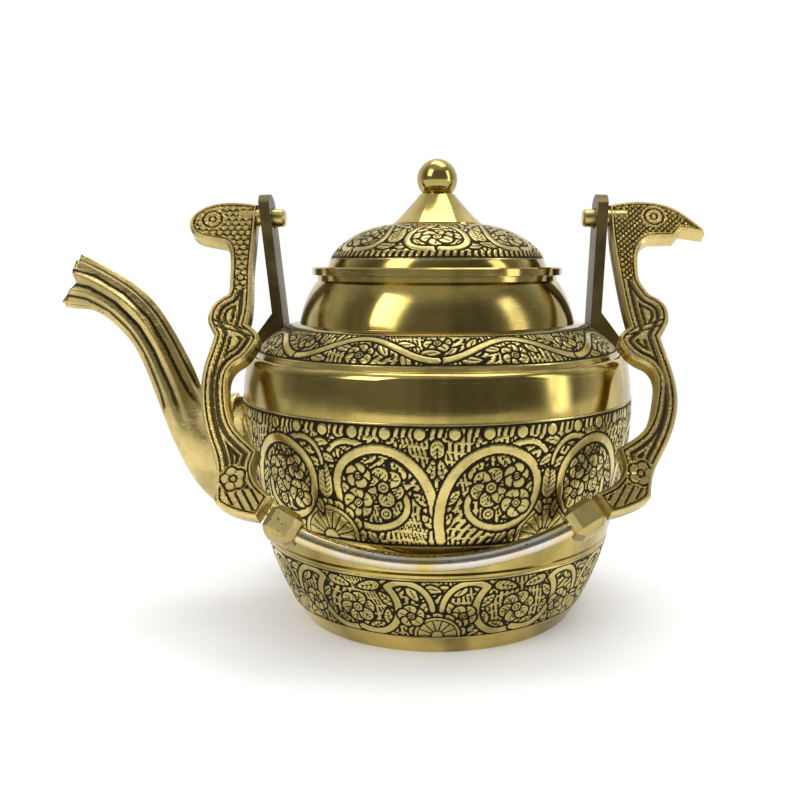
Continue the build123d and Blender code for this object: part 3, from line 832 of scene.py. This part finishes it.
def carved_depth(x, y, inset, art):
    """How deep the carving is, from 0 to 1, at points of an arm's face, all in millimetres."""
    deep = np.maximum(groove(inset, 0.3, 0.6), groove(inset, 2.5, 1.7))
    hairpin = (y > 36.0) & (np.abs(y - art["collars"][0]) > 3.0)
    deep = np.maximum(deep, groove(inset, 4.6, 1.3) * hairpin)
    eye = np.hypot(x - art["eye"][0], y - art["eye"][1])
    eye_reach = 4.9
    ground = (inset > 0.9) & (y < art["neck"]) & (eye > eye_reach)
    if art["scales"]:
        scale_row = 2.2
        scale_pitch = 2.7
        row = np.floor(y / scale_row)
        shift = scale_pitch / 2 * (row % 2)
        column = np.round((x - shift) / scale_pitch) * scale_pitch + shift
        marks = groove(np.hypot(x - column, y - row * scale_row), scale_pitch / 2, 0.75)
    else:
        hatch_pitch = 2.3
        lines = np.minimum(off_whole((x + y) / hatch_pitch), off_whole((x - y) / hatch_pitch))
        marks = groove(lines, 0, 0.42)
    deep = np.where(ground, np.maximum(marks, groove(inset, 0.45, 0.9)), deep)
    rings = np.maximum(groove(eye, 1.3, 0.8), groove(eye, 3.6, 1.0))
    deep = np.where((eye < eye_reach) & (inset > 0), rings, deep)
    for level in art["collars"]:
        across = y - level + 0.32 * x
        deep = np.maximum(deep, groove(across, 0, 0.8))
    reach = np.hypot(x - art["flower"][0], y - art["flower"][1])
    turn = np.arctan2(y - art["flower"][1], x - art["flower"][0])
    outline = 3.5 + 1.0 * np.abs(np.cos(2.5 * turn))
    petals = np.maximum(groove(reach - outline, 0, 0.8), groove(reach, 1.2, 0.7))
    spokes = groove(np.abs(np.sin(2.5 * turn + pi / 2)) * reach, 0, 0.5) * (reach > 1.4)
    petals = np.maximum(petals, spokes)
    flower_reach = 5.2
    deep = np.where((reach < flower_reach) & (inset > 0), petals, deep)
    low = (y > art["leaf"]) & (reach >= flower_reach) & (inset > 0.9)
    return np.where(low, groove(off_whole((x + 0.6 * y) / 3.0), 0, 0.3), deep)


def facing_faces(bm, front):
    return [face for face in bm.faces if face.normal.dot(front) > 0.999]


def carve_face(bm, side, line, facing, pitch, art):
    """Cuts one broad face of an arm into a fine net and presses the carving into it."""
    front = facing * bail_front
    drawing = arm_frame(side, line)
    bmesh.ops.dissolve_faces(bm, faces=facing_faces(bm, front))
    face = max(facing_faces(bm, front), key=lambda item: item.calc_area())
    bmesh.ops.inset_region(
        bm, faces=[face], thickness=plain_edge, depth=0.0, use_boundary=True, use_even_offset=True,
    )
    outline = [drawing(vert.co) for vert in face.verts]
    net = [face] + list(face.edges) + list(face.verts)
    for axis, start, way in ((0, side * line, Vector((side, 0, 0))), (1, 0.0, bail_down)):
        low = min(point[axis] for point in outline)
        high = max(point[axis] for point in outline)
        for step in range(1, int((high - low) / pitch) + 1):
            spot = pivot + Vector((start, 0, 0)) + way * (low + step * pitch)
            cut = bmesh.ops.bisect_plane(bm, geom=net, dist=0.00001 * mm, plane_co=spot, plane_no=way)
            net = cut["geom"]
    verts = list({vert for item in net if isinstance(item, bmesh.types.BMFace) for vert in item.verts})
    x, y = np.array([drawing(vert.co) for vert in verts]).T / mm
    edge = np.array(outline + outline[:1]) / mm
    inset = distance_to_line(x, y, edge)[0]
    deep = carved_depth(x, y, inset, art) * np.clip(inset / 0.12, 0, 1)
    mark = bm.verts.layers.float["groove"]
    for vert, share in zip(verts, deep):
        vert.co -= front * float(share) * sizes().carving
        vert[mark] = float(share)


# Where the carving lies on each arm's drawing, in millimetres
left_art = {
    "eye": (17.0, 2.6), "neck": 34.0, "scales": True,
    "collars": (50.5, 52.5), "flower": (-0.4, 107.5), "leaf": 111.0,
}
right_art = {
    "eye": (17.0, 1.4), "neck": 30.0, "scales": False,
    "collars": (51.5, 53.5), "flower": (2.6, 105.5), "leaf": 109.5,
}


def build_arm(name, side, line, art):
    """A carved arm: the frame's own plate, with its two broad faces carved."""
    bm = copy_of(name + "_arm")
    bm.verts.layers.float.new("groove")
    bm.normal_update()
    carve_face(bm, side, line, 1, front_pitch, art)
    bm.normal_update()
    carve_face(bm, side, line, -1, back_pitch, art)
    bm.normal_update()
    piece = piece_from(bm, name + "_arm_carved", "bail", ["arm_brass"], smooth=False)
    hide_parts(name + "_arm")


# The spout's sections, as in the frame: lower edge, upper edge and half width, in millimetres
spout_sections = (
    (-62.0, 30.0, -62.0, 83.5, 17.0),
    (-82.0, 36.5, -80.0, 83.3, 15.0),
    (-98.0, 50.5, -88.0, 84.2, 12.4),
    (-105.6, 66.0, -93.6, 87.0, 10.4),
    (-111.4, 82.2, -96.4, 93.5, 9.2),
    (-117.1, 98.3, -102.8, 107.0, 8.5),
    (-121.6, 106.2, -109.4, 118.2, 8.2),
    (-128.9, 113.8, -119.5, 128.3, 8.0),
    (-136.5, 117.9, -131.6, 135.6, 7.8),
    (-147.5, 119.6, -143.0, 138.2, 7.6),
)
flute_count = 10
flute_start = 2.4


def flute_share(place):
    """How deep in a flute a point of the spout lies, from 0 to 1."""
    point = Vector((place.x, place.z)) / mm
    best = None
    for number in range(len(spout_sections) - 1):
        first = spout_sections[number]
        second = spout_sections[number + 1]
        start = Vector(((first[0] + first[2]) / 2, (first[1] + first[3]) / 2))
        end = Vector(((second[0] + second[2]) / 2, (second[1] + second[3]) / 2))
        run = end - start
        share = max(0.0, min(1.0, (point - start).dot(run) / run.length_squared))
        gap = (point - start - run * share).length
        if best is None or gap < best[0]:
            best = (gap, number, share)
    _, number, share = best
    row = [a + (b - a) * share for a, b in zip(spout_sections[number], spout_sections[number + 1])]
    upper = Vector((row[2] - row[0], row[3] - row[1]))
    middle = Vector(((row[0] + row[2]) / 2, (row[1] + row[3]) / 2))
    across = (point - middle).dot(upper.normalized()) / (upper.length / 2)
    angle = atan2(place.y / mm / row[4], across)
    fade = max(0.0, min(1.0, (number + share - flute_start) / 1.2))
    hollow = 0.5 - 0.5 * cos(flute_count * angle)
    reach = hypot(across, place.y / mm / row[4])
    return fade * max(0.0, min(1.0, (hollow - 0.62) / 0.3)) * (1.0 if reach > 0.8 else 0.4)


def build_spout():
    """The fluted spout with its grooves marked, so that they can be dark."""
    bm = copy_of("spout")
    bm.normal_update()
    seam = [
        face for face in bm.faces
        if abs(face.normal.y) > 0.999 and all(abs(vert.co.y) < 0.004 * mm for vert in face.verts)
    ]
    bmesh.ops.delete(bm, geom=seam, context="FACES")
    bmesh.ops.remove_doubles(bm, verts=bm.verts, dist=0.01 * mm)
    mark = bm.verts.layers.float.new("groove")
    for vert in bm.verts:
        vert[mark] = flute_share(vert.co)
    piece = piece_from(bm, "spout_fluted", "pot", ["spout_brass"])
    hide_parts("spout")


# Operators

class TEAPOT_OT_finishes(bpy.types.Operator):
    """Builds the materials and gives one to every piece of the frame"""
    bl_idname = "teapot.finishes"
    bl_label = "Finishes"

    def execute(self, context):
        build_finishes()
        for name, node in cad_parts.items():
            node.data.materials.clear()
            node.data.materials.append(finish(node_finishes[name]))
        return {"FINISHED"}


class TEAPOT_OT_engraving(bpy.types.Operator):
    """Lays the engraved bands on the bowl, the belly, the shoulder and the lid"""
    bl_idname = "teapot.engraving"
    bl_label = "Engraving"

    def execute(self, context):
        bands = [
            ("belly_engraving", "pot", engrave_belly), ("bowl_engraving", "pot", engrave_bowl),
            ("shoulder_engraving", "pot", engrave_shoulder), ("lid_engraving", "lid", engrave_lid),
        ]
        for name, body, make in bands:
            piece_from(make(), name, body, ["engraved_brass"])
        return {"FINISHED"}


class TEAPOT_OT_spout(bpy.types.Operator):
    """Replaces the spout by a copy whose flutes are darkened"""
    bl_idname = "teapot.spout"
    bl_label = "Spout"

    def execute(self, context):
        build_spout()
        return {"FINISHED"}


class TEAPOT_OT_arms(bpy.types.Operator):
    """Carves the two cast arms of the bail"""
    bl_idname = "teapot.arms"
    bl_label = "Bail arms"

    def execute(self, context):
        build_arm("left", -1, left_line, left_art)
        build_arm("right", 1, right_line, right_art)
        return {"FINISHED"}


def ray_kinds(tree):
    """1 for what the camera sees, straight or through glass, and 1 for what shows in reflections."""
    path = add(tree, "ShaderNodeLightPath")
    seen = maths(tree, "MAXIMUM", path.outputs["Is Camera Ray"], path.outputs["Is Transmission Ray"])
    return seen, path.outputs["Is Glossy Ray"]


def build_world():
    """White to the camera, and a soft room with a dim front for reflections."""
    world = bpy.data.worlds.new("studio")
    bpy.context.scene.world = world
    world.use_nodes = True
    tree = world.node_tree
    tree.nodes.clear()
    out = tree.nodes.new("ShaderNodeOutputWorld")
    way = add(tree, "ShaderNodeTexCoord").outputs["Generated"]
    axes = add(tree, "ShaderNodeSeparateXYZ", Vector=way)
    back = spread(tree, axes.outputs["Y"], -0.25, 0.75, front_level, 1.0)
    low = spread(tree, axes.outputs["Z"], -0.25, 0.02, 0.9, 0.0)
    sky = spread(tree, axes.outputs["Z"], 0.55, 0.9, 0.0, 0.5)
    room = maths(tree, "MAXIMUM", maths(tree, "MAXIMUM", back, low), sky)
    seen, glossy = ray_kinds(tree)
    change = maths(tree, "SUBTRACT", room, plain_level)
    level = maths(tree, "MULTIPLY_ADD", glossy, change, plain_level)
    level = maths(tree, "MAXIMUM", level, seen)
    shader = add(tree, "ShaderNodeBackground", Color=(1.0, 1.0, 1.0, 1.0), Strength=level)
    tree.links.new(shader.outputs[0], out.inputs["Surface"])


def fade_to_white(tree, shader):
    """White far from the pot, where the camera, gloss and glass see the floor. Its shadow stays near."""
    place = add(tree, "ShaderNodeTexCoord").outputs["Object"]
    reach = add(tree, "ShaderNodeVectorMath", {"operation": "LENGTH"})
    tree.links.new(place, reach.inputs[0])
    far = spread(tree, reach.outputs["Value"], white_start, white_end)
    seen = maths(tree, "MAXIMUM", *ray_kinds(tree))
    glow = add(tree, "ShaderNodeEmission", Color=(1.0, 1.0, 1.0, 1.0), Strength=1.0)
    both = add(tree, "ShaderNodeMixShader")
    tree.links.new(maths(tree, "MULTIPLY", far, seen), both.inputs[0])
    tree.links.new(shader.outputs[0], both.inputs[1])
    tree.links.new(glow.outputs[0], both.inputs[2])
    tree.links.new(both.outputs[0], tree.nodes["Material Output"].inputs["Surface"])


def build_floor():
    """A wide plain floor, part of the stage."""
    bm = bmesh.new()
    bmesh.ops.create_grid(bm, x_segments=4, y_segments=4, size=3.0)
    mesh = bpy.data.meshes.new("floor")
    bm.to_mesh(mesh)
    bm.free()
    floor = bpy.data.objects.new("floor", mesh)
    bpy.context.scene.collection.objects.link(floor)
    material = bpy.data.materials.new("floor_white")
    material.use_nodes = True
    shader = material.node_tree.nodes["Principled BSDF"]
    shader.inputs["Base Color"].default_value = (0.93, 0.93, 0.93, 1.0)
    shader.inputs["Roughness"].default_value = 0.9
    shader.inputs["Specular IOR Level"].default_value = 0.0
    fade_to_white(material.node_tree, shader)
    mesh.materials.append(material)


def soft_lamp(name, place, size, power):
    """A rectangular lamp that aims at the pot."""
    lamp = bpy.data.lights.new(name, "AREA")
    lamp.shape = "RECTANGLE"
    lamp.size = size[0]
    lamp.size_y = size[1]
    lamp.energy = power
    holder = bpy.data.objects.new(name, lamp)
    holder.location = place
    holder.rotation_euler = (Vector(lamp_aim) - Vector(place)).to_track_quat("-Z", "Y").to_euler()
    bpy.context.scene.collection.objects.link(holder)


class TEAPOT_OT_stage(bpy.types.Operator):
    """Sets up the floor, the soft light and the camera"""
    bl_idname = "teapot.stage"
    bl_label = "Stage"

    def execute(self, context):
        scene = context.scene
        scene.view_settings.view_transform = "Standard"
        build_world()
        build_floor()
        for lamp in lamps:
            soft_lamp(*lamp)
        camera = bpy.data.cameras.new("camera")
        camera.lens = sizes().photo_lens
        camera.sensor_width = 36.0
        camera.shift_x = sizes().photo_shift
        camera.clip_start = 0.01
        holder = bpy.data.objects.new("camera", camera)
        holder.location = (0, -sizes().photo_distance, sizes().photo_height)
        holder.rotation_euler = (pi / 2 - sizes().photo_pitch, 0, 0)
        scene.collection.objects.link(holder)
        scene.camera = holder
        return {"FINISHED"}


operators = (
    TEAPOT_OT_finishes, TEAPOT_OT_engraving, TEAPOT_OT_spout, TEAPOT_OT_arms, TEAPOT_OT_stage,
)


class TEAPOT_PT_panel(bpy.types.Panel):
    """Buttons for the teapot's pieces"""
    bl_idname = "TEAPOT_PT_panel"
    bl_label = "Brass teapot"
    bl_space_type = "VIEW_3D"
    bl_region_type = "UI"
    bl_category = "Teapot"

    def draw(self, context):
        for operator in operators:
            self.layout.operator(operator.bl_idname)


classes = (TeapotSizes, TeapotColours) + operators + (TEAPOT_PT_panel,)


def register():
    for item in classes:
        bpy.utils.register_class(item)
    bpy.types.Scene.teapot_sizes = PointerProperty(type=TeapotSizes)
    bpy.types.Scene.teapot_colours = PointerProperty(type=TeapotColours)


def unregister():
    del bpy.types.Scene.teapot_colours
    del bpy.types.Scene.teapot_sizes
    for item in reversed(classes):
        bpy.utils.unregister_class(item)


def main():
    register()
    bpy.ops.teapot.finishes()
    bpy.ops.teapot.engraving()
    bpy.ops.teapot.spout()
    bpy.ops.teapot.arms()
    bpy.ops.teapot.stage()


if __name__ == "__main__":
    main()
